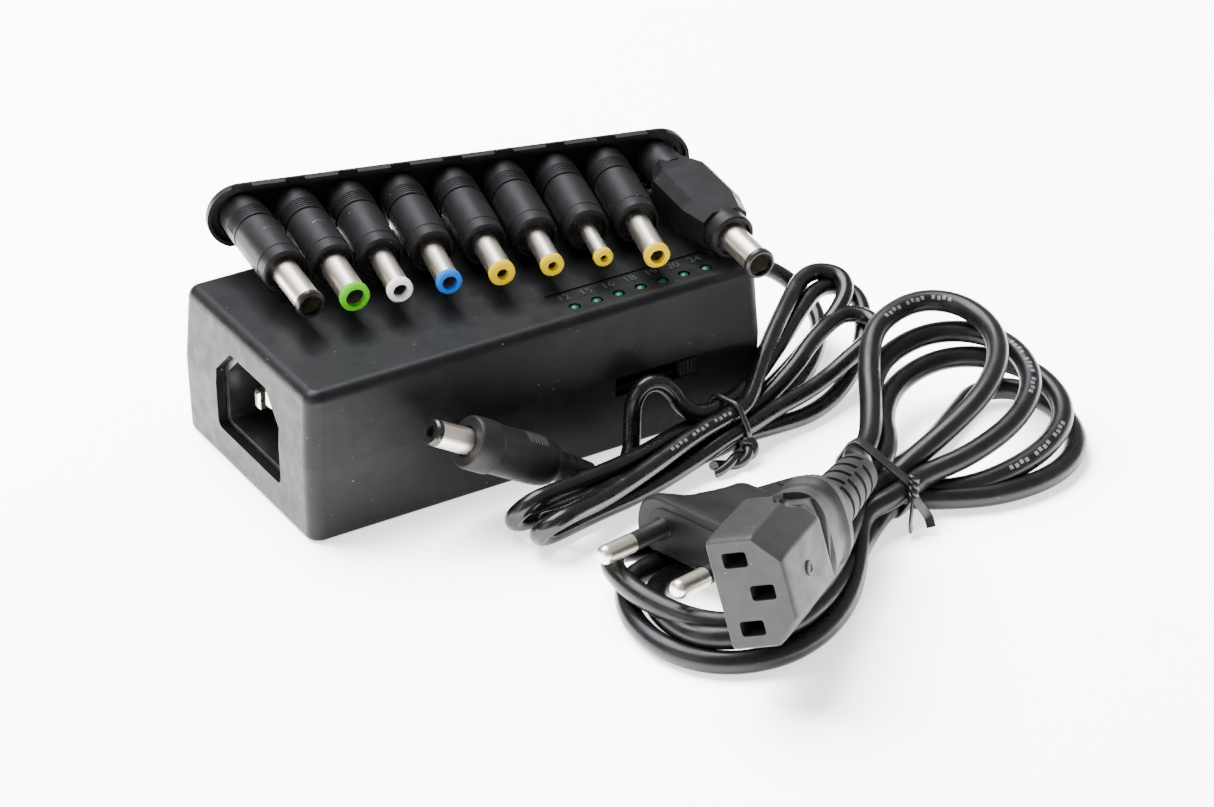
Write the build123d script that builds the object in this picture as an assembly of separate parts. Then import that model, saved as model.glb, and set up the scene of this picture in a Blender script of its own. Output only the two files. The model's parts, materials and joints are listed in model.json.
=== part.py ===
from build123d import *
import math
import os

# Laptop power adapter, millimetres. The brick lies along X with its mains inlet at -X and the
# front face with the voltage selector at -Y. Z is up; the origin is the centre of its underside.

# ---- housing -------------------------------------------------------------------------------
LENGTH, WIDTH, HEIGHT = 108.9, 57.4, 34.0
PARTING_Z = 17.3
TOP_INSET, BOTTOM_INSET = 1.0, 0.3      # draft of each shell, per side
CORNER_R, TOP_EDGE_R, BOTTOM_EDGE_R = 3.0, 2.4, 1.0
WALL = 2.0
LIP_HEIGHT, LIP_THICKNESS, LIP_GAP = 1.6, 0.9, 0.25
SCREW_PLACES = [(x, y) for x in (-48.0, 48.0) for y in (-22.5, 22.5)]

# ---- mains inlet ---------------------------------------------------------------------------
INLET_Y, INLET_Z = -1.3, 17.4
INLET_W, INLET_H, INLET_CUT = 28.0, 19.8, 6.2
INLET_RECESS = 2.2                       # from the outer wall to the rim of the inlet module
INLET_DEPTH = 20.0
INLET_FLANGE_X = 2.75                    # front of the flange behind the wall
CAVITY_W, CAVITY_H, CAVITY_CUT, CAVITY_DEPTH = 24.8, 16.8, 5.2, 15.5
BLADE_W, BLADE_T, BLADE_LENGTH = 4.0, 2.0, 15.0
BLADE_PITCH, BLADE_DROP, BLADE_RISE = 7.0, -2.0, 2.0

# ---- indicators and voltage selector --------------------------------------------------------
LED_COUNT, LED_PITCH, LED_X0, LED_Y, LED_HOLE_R = 7, 5.35, 11.0, -23.1, 1.3
LABEL_X, LABEL_Y, LABEL_LENGTH, LABEL_DEPTH_Y, LABEL_RECESS = 27.0, -18.7, 39.0, 4.6, 0.3
WINDOW_X0, WINDOW_X1, WINDOW_Z0 = 17.5, 37.2, 12.9
KNOB_LENGTH, KNOB_HEIGHT, KNOB_CLEARANCE = 3.6, 3.4, 0.25
KNOB_TRAVEL = WINDOW_X1 - WINDOW_X0 - KNOB_LENGTH - 2 * KNOB_CLEARANCE
SWITCH_FRONT_Y = -WIDTH / 2 + WALL + 0.1
SLOT_Z = (WINDOW_Z0 + PARTING_Z) / 2

# ---- output lead ---------------------------------------------------------------------------
DC_CORD_D = 3.8
DC_EXIT_Y, DC_EXIT_Z = 1.0, 17.3
DC_RELIEF_LENGTH = 13.0
DC_RELIEF_END = LENGTH / 2 + DC_RELIEF_LENGTH
DC_START = [(DC_RELIEF_END, 1, 17.3), (74.5, 0.6, 14.6), (80.5, -3, 9.5)]
DC_END = [(34, -38, 12.6), (27, -35, 17), (19.5, -33.6, 13.5), (18, -34.6, 6), (13.4, -38.8, 2.3),
          (8.4, -39.6, 2.3), (4.4, -39.4, 3.9)]
DC_PLUG_BACK, DC_PLUG_TIP = (4.4, -39.4, 3.9), (-31.9, -38.2, 25.0)
DC_HANK_RIGHT = [(37, -33), (57, -30.5), (66, -18), (76, -8), (86, -5), (91, -14), (90, -30),
                 (80, -37.5), (66, -41), (52, -46), (37, -48)]
DC_HANK_LEFT = [(39, -33), (24, -37.5), (8, -43.6), (-12, -44.4), (-22, -47), (-22, -58), (-12, -62),
                (14, -56), (39, -48)]
DC_TIE = (38, -40)

# ---- tip holder and tips -------------------------------------------------------------------
HOLDER_CENTRE = (8.3, 23.3, 41.8)
HOLDER_YAW, HOLDER_DIP, HOLDER_ROLL = 13.6, 3.0, 0.8
TIP_PITCH = 11.44
RIM_R, RIM_LIP, RIM_FRONT, RIM_BACK, RIM_SPARE, RIM_FOOT = 7.3, 0.8, 0.9, -0.9, 0.4, -6.8
TRAY_R, TRAY_WALL, SEAT, TRAY_FLOOR = 6.0, 0.6, -1.6, 1.2
NOTCH_LOW, NOTCH_HIGH = 3.0, 1.9
TIP_BODY_R, TIP_BODY_LENGTH = 5.0, 25.0
#            turned by, barrel length, barrel radius, ring radius, bore radius
TIPS = [(7.4, 14.2, 2.85, 3.10, 2.30),
        (4.5, 13.5, 2.90, 3.20, 2.05),
        (1.7, 13.2, 2.45, 2.75, 1.60),
        (0.4, 12.7, 2.45, 2.75, 1.60),
        (0.5, 12.2, 2.60, 2.80, 1.25),
        (-0.2, 11.8, 2.30, 2.50, 1.10),
        (-0.6, 11.6, 1.75, 2.05, 0.85),
        (-1.2, 13.8, 2.55, 2.80, 1.60),
        (9.0, 12.0, 3.00, 3.35, 2.60)]

# ---- mains lead ----------------------------------------------------------------------------
MAINS_CORD_D = 4.7
SOCKET_FACE, SOCKET_OUT, SOCKET_DOWN = (-8.8, -120.3, 24.5), (-0.80, -0.58, 0.12), (0.13, -0.30, -0.93)
SOCKET_W, SOCKET_T, SOCKET_CUT = 23.0, 15.0, 5.2
SOCKET_BODY, SOCKET_NECK, SOCKET_RELIEF = 21.0, 14.0, 25.0
PLUG_PINS, PLUG_OUT = (-15.2, -89.5, 13.9), (-0.95, -0.30, 0.12)
PLUG_SPACING_DIR = (0.30, -0.95, 0.0)
PIN_R, PIN_LENGTH, PIN_BARE, PIN_SPACING = 2.0, 19.0, 9.0, 18.6
PLUG_REAR = -54.0
#                 behind the pin ends, width, thickness, corner radius
PLUG_SECTIONS = [(-19.0, 32.6, 12.4, 5.4), (-22.0, 32.2, 12.4, 5.4), (-29.0, 25.0, 11.4, 5.0),
                 (-35.0, 19.0, 10.6, 4.8), (-41.0, 15.5, 10.0, 4.4), (-42.0, 11.5, 8.4, 4.0),
                 (-54.0, 8.0, 7.4, 3.6)]
MAINS_TIE = (51.0, -76.0)
MAINS_HANK_RIGHT = [(46, -70.5), (52, -65), (59, -53), (68, -43), (76, -39), (90, -39), (103, -46),
                    (109, -60), (108, -78), (97, -90), (76, -93), (56, -88), (48, -84)]
MAINS_HANK_LEFT = [(49, -70), (36, -66), (20, -65.5), (-6, -66), (-19, -73), (-24, -92), (-21, -108),
                   (-8, -117), (14, -118.5), (32, -108), (43, -94), (51, -83.5)]


def frame_from(origin, z_dir, x_dir):
    """A plane at origin with its normal along z_dir and its x axis as near x_dir as it can be."""
    z = Vector(*z_dir).normalized()
    x = Vector(*x_dir)
    x = (x - z * x.dot(z)).normalized()
    return Plane(origin=origin, x_dir=x, z_dir=z)


def save(name, shape):
    shape.label = name
    export_step(shape, "parts/%s.step" % name)


def revolved(profile):
    """Solid of revolution about Z of a closed (radius, height) outline."""
    with BuildPart() as part:
        with BuildSketch(Plane.XZ):
            with BuildLine():
                Polyline(profile, close=True)
            make_face()
        revolve(axis=Axis.Z)
    return part.part


def rod(radius, length, bottom=0.0):
    return Pos(0, 0, bottom) * Cylinder(radius, length, align=(Align.CENTER, Align.CENTER, Align.MIN))


def block(size_x, size_y, size_z, bottom=0.0):
    return Pos(0, 0, bottom) * Box(size_x, size_y, size_z, align=(Align.CENTER, Align.CENTER, Align.MIN))


def tapered(length_0, width_0, z_0, length_1, width_1, z_1, radius):
    """Rounded rectangle lofted between two heights, the draft of a moulded shell."""
    with BuildPart() as part:
        with BuildSketch(Plane.XY.offset(z_0)):
            RectangleRounded(length_0, width_0, radius)
        with BuildSketch(Plane.XY.offset(z_1)):
            RectangleRounded(length_1, width_1, radius)
        loft()
    return part.part


def notched_rectangle(width, height, cut):
    """Mains connector outline: a rectangle with its two upper corners cut off, centred."""
    w, h = width / 2, height / 2
    outline = [(-w, -h), (w, -h), (w, h - cut), (w - cut, h), (-w + cut, h), (-w, h - cut)]
    with BuildSketch() as sketch:
        with BuildLine():
            Polyline(outline, close=True)
        make_face()
        lower = sketch.vertices().sort_by(Axis.Y)[:2]
        fillet(lower, 1.6)
    return sketch.sketch


def tube(name, points, diameter):
    """Cord tube: straight runs joined by arcs as large as the two runs beside each corner allow."""
    route = [Vector(*p) for p in points]
    radii = []
    for before, corner, after in zip(route, route[1:], route[2:]):
        a, b = corner - before, after - corner
        half_turn = math.radians(a.get_angle(b)) / 2
        radii.append(0.45 * min(a.length, b.length) / math.tan(half_turn))
    path = FilletPolyline(*points, radius=radii)
    with BuildPart() as part:
        with BuildSketch(Plane(origin=path @ 0, z_dir=path % 0)):
            Circle(diameter / 2)
        sweep(path=path)
    exact = math.pi * diameter ** 2 / 4 * path.length
    print(name, "radii", [round(r, 1) for r in radii], "length", round(path.length, 1),
          "volume ratio", round(part.part.volume / exact, 4))
    return part.part


def lobe(outline, height, radius=2.0):
    with BuildPart() as part:
        with BuildSketch() as sketch:
            with BuildLine():
                Polyline(outline, close=True)
            make_face()
            fillet(sketch.vertices(), radius)
        extrude(amount=height)
    return part.part


def below_slope(shape, y_low, z_low, slope):
    """The part of shape below a plane that rises with y."""
    cutter = Plane(origin=(0, y_low, z_low), x_dir=(1, 0, 0), z_dir=(0, -slope, 1))
    return split(shape, bisect_by=cutter, keep=Keep.BOTTOM)


# ---- housing -------------------------------------------------------------------------------
def outer_width(z):
    """Length and width of the housing at height z."""
    if z >= PARTING_Z:
        inset = TOP_INSET * (z - PARTING_Z) / (HEIGHT - PARTING_Z)
    else:
        inset = BOTTOM_INSET * (PARTING_Z - z) / PARTING_Z
    return LENGTH - 2 * inset, WIDTH - 2 * inset


def inlet_prism(width, height, cut, x_from, x_to):
    plane = Plane(origin=(x_from, INLET_Y, INLET_Z), x_dir=(0, -1, 0), z_dir=(-1, 0, 0))
    return extrude(plane * notched_rectangle(width, height, cut), amount=x_from - x_to)


def relief_bore():
    """Hole for the output strain relief, wider behind the wall for its flange."""
    axis = Pos(LENGTH / 2, DC_EXIT_Y, DC_EXIT_Z) * Rot(0, 90, 0)
    return axis * (rod(4.2, 4 * WALL, -2 * WALL) + rod(5.7, 4.0, -WALL - 0.35 - 4.0))


def inlet_opening():
    """Opening in the end wall, wider behind it for the flange of the inlet module."""
    opening = inlet_prism(INLET_W, INLET_H, INLET_CUT, -LENGTH / 2 + 3 * WALL, -LENGTH / 2 - WALL)
    behind = -LENGTH / 2 + INLET_FLANGE_X
    return opening + inlet_prism(INLET_W + 4, INLET_H + 4, INLET_CUT + 1, behind + 4, behind)



def make_top_shell():
    low, high = outer_width(PARTING_Z), outer_width(HEIGHT)
    shell = tapered(*low, PARTING_Z, *high, HEIGHT, CORNER_R)
    shell = fillet(shell.faces().sort_by(Axis.Z)[-1].edges(), TOP_EDGE_R)
    inner_low = [v - 2 * WALL for v in low]
    inner_high = [v - 2 * WALL for v in high]
    shell -= tapered(*inner_low, PARTING_Z, *inner_high, HEIGHT - WALL, 1.2)
    for x, y in SCREW_PLACES:
        boss = rod(3.0, HEIGHT - WALL - PARTING_Z - 2.0, PARTING_Z + 2.0)
        pilot = rod(1.0, 9.0, PARTING_Z + 2.0)
        shell += Pos(x, y, 0) * (boss - pilot)
    for i in range(LED_COUNT):
        shell -= Pos(LED_X0 + i * LED_PITCH, LED_Y, HEIGHT - 4) * rod(LED_HOLE_R, 8)
    shell -= Pos(LABEL_X, LABEL_Y, HEIGHT - LABEL_RECESS) * Box(
        LABEL_LENGTH, LABEL_DEPTH_Y, 2, align=(Align.CENTER, Align.CENTER, Align.MIN))
    shell -= inlet_opening()
    return shell - relief_bore()


def make_bottom_shell():
    low, high = outer_width(0), outer_width(PARTING_Z)
    shell = tapered(*low, 0, *high, PARTING_Z, CORNER_R)
    shell = fillet(shell.faces().sort_by(Axis.Z)[0].edges(), BOTTOM_EDGE_R)
    inner_low = [v - 2 * WALL for v in low]
    inner_high = [v - 2 * WALL for v in high]
    shell -= tapered(*inner_low, WALL, *inner_high, PARTING_Z, 1.2)
    lip = [v - 2 * (WALL + LIP_GAP) for v in high]
    lip_inner = [v - 2 * LIP_THICKNESS for v in lip]
    rim = tapered(*lip, PARTING_Z - 2.5, *lip, PARTING_Z + LIP_HEIGHT, 1.0)
    rim -= tapered(*lip_inner, PARTING_Z - 3, *lip_inner, PARTING_Z + LIP_HEIGHT + 1, 0.6)
    root = [v - 2 * (WALL - 0.3) for v in high]
    rim += (tapered(*root, PARTING_Z - 2.5, *root, PARTING_Z - 0.4, 1.2)
            - tapered(*lip_inner, PARTING_Z - 3, *lip_inner, PARTING_Z + 1, 0.6))
    shell += rim
    for x, y in SCREW_PLACES:
        post = rod(3.6, PARTING_Z + 1.6 - WALL, WALL)
        shell += Pos(x, y, 0) * post
        shell -= Pos(x, y, 0) * rod(1.35, PARTING_Z + 4, -1)
        shell -= Pos(x, y, 0) * rod(2.5, 6.0, 0)
    window = Box(WINDOW_X1 - WINDOW_X0, 4 * WALL, PARTING_Z - WINDOW_Z0 + 3,
                 align=(Align.MIN, Align.CENTER, Align.MIN))
    shell -= Pos(WINDOW_X0, -WIDTH / 2 + WALL, WINDOW_Z0) * window
    shell -= Pos((WINDOW_X0 + WINDOW_X1) / 2, SWITCH_FRONT_Y - 0.05, SLOT_Z - 3.4) * Box(
        26.6, 6, 9, align=(Align.CENTER, Align.MIN, Align.MIN))
    shell -= inlet_opening()
    return shell - relief_bore()


def make_screws():
    head = rod(2.3, 1.6, 4.3)
    shank = rod(1.0, 20.0, 5.9)
    socket = Pos(0, 0, 4.3) * (Box(2.4, 0.5, 1.4) + Box(0.5, 2.4, 1.4))
    screw = head + shank - socket
    return Compound([Pos(x, y, 0) * screw for x, y in SCREW_PLACES])


# ---- mains inlet ---------------------------------------------------------------------------
INLET_FRONT_X = -LENGTH / 2 + INLET_RECESS


def make_inlet_body():
    x = INLET_FRONT_X
    flange_x = -LENGTH / 2 + INLET_FLANGE_X
    body = inlet_prism(INLET_W + 3.4, INLET_H + 3.4, INLET_CUT + 1, flange_x + 2.2, flange_x)
    body += inlet_prism(INLET_W - 0.3, INLET_H - 0.3, INLET_CUT, x + INLET_DEPTH, x)
    body -= inlet_prism(CAVITY_W, CAVITY_H, CAVITY_CUT, x + CAVITY_DEPTH, x - 1)
    for place in blade_places(x + CAVITY_DEPTH):
        body -= place * Box(2 * INLET_DEPTH, BLADE_T, BLADE_W)
    return body


def blade_places(x):
    """Earth blade on top in the middle, line and neutral below it."""
    rises = ((0, BLADE_RISE), (-BLADE_PITCH, BLADE_DROP), (BLADE_PITCH, BLADE_DROP))
    return [Pos(x, INLET_Y + dy, INLET_Z + dz) for dy, dz in rises]


def make_inlet_blades():
    tail = 9.0
    blades = []
    for i, place in enumerate(blade_places(INLET_FRONT_X + CAVITY_DEPTH + tail)):
        reach = BLADE_LENGTH - (3.0 if i else 2.0) + tail
        blade = Box(reach, BLADE_T, BLADE_W, align=(Align.MAX, Align.CENTER, Align.CENTER))
        tip = blade.faces().sort_by(Axis.X)[0].edges()
        blades.append(place * chamfer(tip, 0.5))
    return Compound(blades)


# ---- inside --------------------------------------------------------------------------------
BOARD_Z, BOARD_T = 5.0, 1.6
BOARD_TOP = BOARD_Z + BOARD_T


def make_circuit_board():
    board = Pos(9, 0, BOARD_Z) * Box(84, 50, BOARD_T, align=(Align.CENTER, Align.CENTER, Align.MIN))
    for x, y in SCREW_PLACES:
        board -= Pos(x, y, 0) * rod(4.4, 30)
    for x, y in ((-20, -10), (-20, 10), (20, 0), (36, 8)):
        board += Pos(x, y, WALL) * rod(1.5, BOARD_Z - WALL)
    return board


def make_fuse():
    body = Pos(-17, -19, BOARD_TOP + 3.2) * Rot(0, 90, 0) * Cylinder(2.4, 15)
    upward = (Align.CENTER, Align.CENTER, Align.MIN)
    caps = [Pos(-17 + s * 8.5, -19, BOARD_TOP) * Box(2.2, 6, 6.4, align=upward)
            for s in (-1, 1)]
    return body + caps[0] + caps[1]


def make_choke():
    place = Pos(-22.5, 15.5, BOARD_TOP)
    ring = rod(8.5, 11) - rod(3.2, 12)
    return place * (ring + block(17.6, 1.6, 12))


def make_line_capacitor():
    body = Pos(-20.5, -4, BOARD_TOP) * block(12, 8, 13)
    return fillet(body.edges(), 0.8)


def make_capacitors():
    bulk = Pos(-5, 2, BOARD_TOP + 9) * Rot(90, 0, 0) * Cylinder(8.5, 30)
    outputs = [Pos(x, y, BOARD_TOP) * rod(4.0, 16) for x, y in ((34, -8), (34, 2), (34, 12))]
    cans = [fillet(bulk.edges().filter_by(GeomType.CIRCLE), 0.8)]
    cans += [fillet(can.edges().filter_by(GeomType.CIRCLE), 0.6) for can in outputs]
    return Compound(cans)


def make_transformer():
    core = Pos(16, 1, BOARD_TOP + 1) * Box(22, 24, 19, align=(Align.CENTER, Align.CENTER, Align.MIN))
    window = Pos(16, 1, BOARD_TOP + 4.5) * Box(15, 30, 12, align=(Align.CENTER, Align.CENTER, Align.MIN))
    winding = Pos(16, 1, BOARD_TOP + 10.5) * Rot(90, 0, 0) * Cylinder(7.6, 21)
    base = Pos(16, 1, BOARD_TOP) * Box(19, 27, 1.4, align=(Align.CENTER, Align.CENTER, Align.MIN))
    return (core - window) + winding + base


def make_heat_sinks():
    sinks = []
    for x, y in ((-1, 22.3), (16, -17.5)):
        plate = Pos(x, y, BOARD_TOP) * Box(30, 1.6, 17, align=(Align.CENTER, Align.CENTER, Align.MIN))
        package = Pos(x, y - 2.3, BOARD_TOP + 3) * Box(10, 3.2, 11,
                                                     align=(Align.CENTER, Align.CENTER, Align.MIN))
        sinks.append(plate + package)
    return Compound(sinks)


# ---- indicators and selector ------------------------------------------------------------------
LED_BOARD_Z = HEIGHT - WALL - 3.6


def make_led_board():
    return Pos(LED_X0 + 3 * LED_PITCH - 0.4, LED_Y + 1.5, LED_BOARD_Z) * block(35.5, 6.5, 1.0)


def make_leds():
    lamp = revolved([(0, 0), (1.15, 0), (1.15, 3.9), (0.8, 4.5), (0, 4.8)])
    return Compound([Pos(LED_X0 + i * LED_PITCH, LED_Y, LED_BOARD_Z + 1.0) * lamp for i in range(LED_COUNT)])


def make_selector_switch():
    body = Pos((WINDOW_X0 + WINDOW_X1) / 2, SWITCH_FRONT_Y, SLOT_Z) * Box(
        26, 5.0, 6.4, align=(Align.CENTER, Align.MIN, Align.CENTER))
    slot = Pos((WINDOW_X0 + WINDOW_X1) / 2, SWITCH_FRONT_Y, SLOT_Z) * Box(
        WINDOW_X1 - WINDOW_X0, 6.0, 2.0, align=(Align.CENTER, Align.CENTER, Align.CENTER))
    return body - slot


def make_selector_knob():
    """Rests at the right-hand stop and slides to the left along the window."""
    x = WINDOW_X1 - KNOB_CLEARANCE - KNOB_LENGTH / 2
    front_y = -WIDTH / 2 - 0.25
    outward = (Align.CENTER, Align.MIN, Align.CENTER)
    cap = Pos(x, front_y, SLOT_Z) * Box(KNOB_LENGTH, 1.9, KNOB_HEIGHT, align=outward)
    stem = Pos(x, front_y + 1.0, SLOT_Z) * Box(2.6, 3.3, 1.5, align=(Align.CENTER, Align.MIN, Align.CENTER))
    knob = cap + stem
    for i in range(4):
        groove_x = x - KNOB_LENGTH / 2 + (i + 0.5) * KNOB_LENGTH / 4
        knob -= Pos(groove_x, front_y, SLOT_Z) * Box(0.35, 0.7, KNOB_HEIGHT + 1)
    return knob


# ---- output lead ----------------------------------------------------------------------------
def make_output_relief():
    bore = DC_CORD_D / 2
    profile = [(bore, -4.2), (5.4, -4.2), (5.4, -WALL - 0.45), (4.1, -WALL - 0.45), (4.1, 0.0), (4.6, 0.0),
               (4.6, 1.5), (3.7, 2.2), (2.5, DC_RELIEF_LENGTH), (bore, DC_RELIEF_LENGTH)]
    relief = revolved(profile)
    for i in range(4):
        for side in (0, 1):
            notch = Pos(0, 0, 3.6 + 2.1 * i + 1.0 * side) * Rot(0, 0, 90 * side) * (
                Pos(3.6, 0, 0) * Box(2.4, 9, 0.8) + Pos(-3.6, 0, 0) * Box(2.4, 9, 0.8))
            relief -= notch
    place = Plane(origin=(LENGTH / 2, DC_EXIT_Y, DC_EXIT_Z), x_dir=(0, 1, 0), z_dir=(1, 0, 0))
    return place * relief


def dc_plug_plane():
    back, tip = Vector(*DC_PLUG_BACK), Vector(*DC_PLUG_TIP)
    return frame_from(DC_PLUG_BACK, tuple(tip - back), (0, 1, 0)), (tip - back).length


DC_BARREL, DC_TIP_RING = 7.8, 1.5


def make_dc_plug():
    place, total = dc_plug_plane()
    front = total - DC_BARREL - DC_TIP_RING
    body = revolved([(0, 0), (2.6, 0), (3.5, 9.5), (4.7, 11.5), (5.5, 15), (5.5, front - 0.6),
                     (4.9, front), (3.3, front), (3.3, front - 1.0), (0, front - 1.0)])
    for i in range(3):
        slot = Pos(0, 0, 3.0 + 2.6 * i)
        body -= slot * (Pos(0, 3.6, 0) * Box(9, 2.6, 0.8) + Pos(0, -3.6, 0) * Box(9, 2.6, 0.8))
    barrel = revolved([(1.6, front - 1.0), (2.75, front - 1.0), (2.75, total - DC_TIP_RING),
                       (1.6, total - DC_TIP_RING)])
    ring = revolved([(1.25, total - DC_TIP_RING), (2.75, total - DC_TIP_RING), (2.75, total - 0.4),
                     (2.35, total), (1.25, total)])
    return place * body, place * barrel, place * ring


def tie_ring(centre, direction, width, height, wire=1.5):
    """Flat-oval wire tie round a bundle that lies on the ground, with its two twisted ends."""
    plane = Plane(origin=(centre[0], centre[1], height / 2), x_dir=(-direction[1], direction[0], 0),
                  z_dir=(direction[0], direction[1], 0))
    corner = min(height, width) / 2 - wire - 0.2
    outer = extrude(plane * RectangleRounded(width + 2 * wire, height, corner + wire), amount=wire, both=True)
    inner = extrude(plane * RectangleRounded(width, height - 2 * wire, corner), amount=wire * 2, both=True)
    knot = plane * Pos(-width / 2 - 5.0, -height / 2 + 2.4, 0) * Rot(0, 90, 0) * Cylinder(1.6, 9)
    return outer - inner + knot


# ---- tip holder and tips -----------------------------------------------------------------------
def holder_plane():
    """x along the strip, z the way the tips point, y up."""
    turn = Rot(0, 0, -HOLDER_YAW) * Rot(0, HOLDER_ROLL, 0) * Rot(HOLDER_DIP, 0, 0)
    base = Location(HOLDER_CENTRE) * turn
    plane = Plane(base)
    return Plane(origin=plane.origin, x_dir=plane.x_dir, z_dir=-plane.y_dir)


def tip_plane(index):
    """Place of one tip: its rear end seat in the holder, turned about the strip's own up axis."""
    strip = holder_plane()
    origin = strip.from_local_coords(Vector((index - 4) * TIP_PITCH, 0, 0))
    turn = math.radians(TIPS[index][0])
    direction = strip.z_dir * math.cos(turn) + strip.x_dir * math.sin(turn)
    side = strip.x_dir * math.cos(turn) - strip.z_dir * math.sin(turn)
    return Plane(origin=origin, x_dir=side, z_dir=direction)


STUD_R, STUD_LENGTH, STUD_OFFSET = 0.9, 5.0, 2.3


def make_tip_holder():
    """Thin rim with a shallow tray behind it, a notch over each tip and two studs for each tip."""
    strip = holder_plane()
    span = 8 * TIP_PITCH

    def slab(radius, low, high, spare=0.0):
        return Pos(0, 0, low) * extrude(SlotCenterToCenter(span + 2 * spare, 2 * radius), amount=high - low)

    holder = slab(RIM_R, RIM_BACK, RIM_FRONT, RIM_SPARE)
    holder -= slab(RIM_R - RIM_LIP, RIM_BACK + 0.6, RIM_FRONT + 1.0, RIM_SPARE)
    holder += slab(TRAY_R, SEAT - TRAY_FLOOR, RIM_BACK + 0.3)
    holder -= slab(TRAY_R - TRAY_WALL, SEAT, RIM_FRONT)
    for i in range(9):
        notch = Polygon((-NOTCH_LOW, RIM_R - 1.3), (NOTCH_LOW, RIM_R - 1.3), (NOTCH_HIGH, RIM_R + 0.3),
                        (-NOTCH_HIGH, RIM_R + 0.3), align=None)
        holder -= Pos((i - 4) * TIP_PITCH, 0, RIM_BACK + 0.6) * extrude(notch, amount=3.0)
    holder -= Pos(0, RIM_FOOT - 5, 0) * Box(span + 40, 10, 12)
    holder = strip * holder
    for i in range(9):
        for side in (-1, 1):
            stud = Pos(side * STUD_OFFSET, 0, SEAT - 0.9) * rod(STUD_R, STUD_LENGTH + 0.9)
            holder += tip_plane(i) * stud
    return holder


def make_tip(index):
    turn, barrel_length, barrel_r, ring_r, bore_r = TIPS[index]
    rear = SEAT + 0.9
    if index < 8:
        front = TIP_BODY_LENGTH
        r = TIP_BODY_R
        profile = [(0, rear), (r - 0.6, rear), (r - 0.1, rear + 0.5), (r, 8.2), (r - 0.35, 8.4),
                   (r - 0.35, 8.9), (r, 9.1), (r, front - 3.6), (r - 0.15, front - 3.4),
                   (r - 0.15, front - 0.4),
                   (r - 0.5, front), (r - 1.0, front), (r - 1.0, front - 1.2), (0, front - 1.2)]
        body = revolved(profile)
    else:
        front = 36.0
        neck = revolved([(0, rear), (4.5, rear), (4.7, 8.5), (0, 8.5)])
        with BuildPart() as bulge:
            for z, half_w, half_h in ((6.8, 4.4, 4.2), (12.5, 6.9, 5.1), (25.5, 6.9, 5.0), (32.0, 5.2, 4.7)):
                with BuildSketch(Plane.XY.offset(z)):
                    Polygon(*octagon(half_w, half_h), align=None)
            loft(ruled=True)
        collar = revolved([(0, 31), (4.8, 31), (4.95, 32.5), (4.95, front - 0.4), (4.6, front),
                           (4.0, front), (4.0, front - 1.2), (0, front - 1.2)])
        body = neck + bulge.part + collar
    for side in (-1, 1):
        body -= Pos(side * STUD_OFFSET, 0, rear - 0.5) * rod(STUD_R + 0.1, STUD_LENGTH + 1.2)
    end = front + barrel_length
    wall = barrel_r - 0.35
    barrel = revolved([(bore_r, front - 1.2), (barrel_r, front - 1.2), (barrel_r, end - 1.3),
                       (bore_r, end - 1.3)]) if wall > bore_r else revolved(
        [(wall - 0.1, front - 1.2), (barrel_r, front - 1.2), (barrel_r, end - 1.3), (wall - 0.1, end - 1.3)])
    ring = revolved([(bore_r, end - 1.3), (ring_r, end - 1.3), (ring_r, end - 0.35), (ring_r - 0.35, end),
                     (bore_r, end)])
    place = tip_plane(index)
    return place * body, place * barrel, place * ring


def octagon(half_w, half_h):
    cut = 0.42 * half_h
    quarter = [(half_w, half_h - cut), (half_w - cut, half_h)]
    top = quarter + [(-x, y) for x, y in reversed(quarter)]
    return top + [(-x, -y) for x, y in top]


# ---- mains lead --------------------------------------------------------------------------------
def socket_plane():
    """Face of the line socket: z out of the face, y along its long side, x towards the earth side."""
    down = Vector(*SOCKET_DOWN)
    out = Vector(*SOCKET_OUT).normalized()
    return frame_from(SOCKET_FACE, tuple(out), tuple(out.cross(down)))


def socket_outline(width, thickness, cut):
    """Outline with its long side along y and its two cut corners towards +x."""
    w, t = width / 2, thickness / 2
    points = [(-t, -w), (t - cut, -w), (t, -w + cut), (t, w - cut), (t - cut, w), (-t, w)]
    return Polygon(*points, align=None)


def make_socket():
    place = socket_plane()
    with BuildPart() as shell:
        for z, scale in ((0, 0.96), (-1.5, 1.0), (-SOCKET_BODY, 1.0)):
            with BuildSketch(Plane.XY.offset(z)):
                add(socket_outline(SOCKET_W * scale, SOCKET_T * scale, SOCKET_CUT))
        loft(ruled=True)
    with BuildPart() as taper:
        with BuildSketch(Plane.XY.offset(-SOCKET_BODY)):
            add(socket_outline(SOCKET_W * 0.94, SOCKET_T * 0.94, SOCKET_CUT))
        with BuildSketch(Plane.XY.offset(-SOCKET_BODY - SOCKET_NECK)):
            RectangleRounded(10.4, 11.6, 4.8)
        loft()
    relief_end = -SOCKET_BODY - SOCKET_NECK - SOCKET_RELIEF
    relief = revolved([(0, relief_end), (3.5, relief_end), (5.2, relief_end + SOCKET_RELIEF + 1),
                       (0, relief_end + SOCKET_RELIEF + 1)])
    for i in range(5):
        for side in (0, 1):
            z = relief_end + 4.0 + 4.0 * i + 2.0 * side
            notch = Pos(4.4, 0, 0) * Box(3.4, 12, 1.3) + Pos(-4.4, 0, 0) * Box(3.4, 12, 1.3)
            relief -= Pos(0, 0, z) * Rot(0, 0, 90 * side) * notch
    body = shell.part + taper.part + relief
    for x, y in socket_slots():
        body -= Pos(x, y, -15.5) * Box(4.2, 2.2, 17, align=(Align.CENTER, Align.CENTER, Align.MIN))
    upward = (Align.CENTER, Align.CENTER, Align.MIN)
    sleeve = Box(3.8, 2.0, 9, align=upward) - Pos(0, 0, 1) * Box(4.6, 0.8, 9, align=upward)
    contacts = [Pos(x, y, -15.4) * sleeve for x, y in socket_slots()]
    return place * body, Compound([place * contact for contact in contacts])


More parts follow.
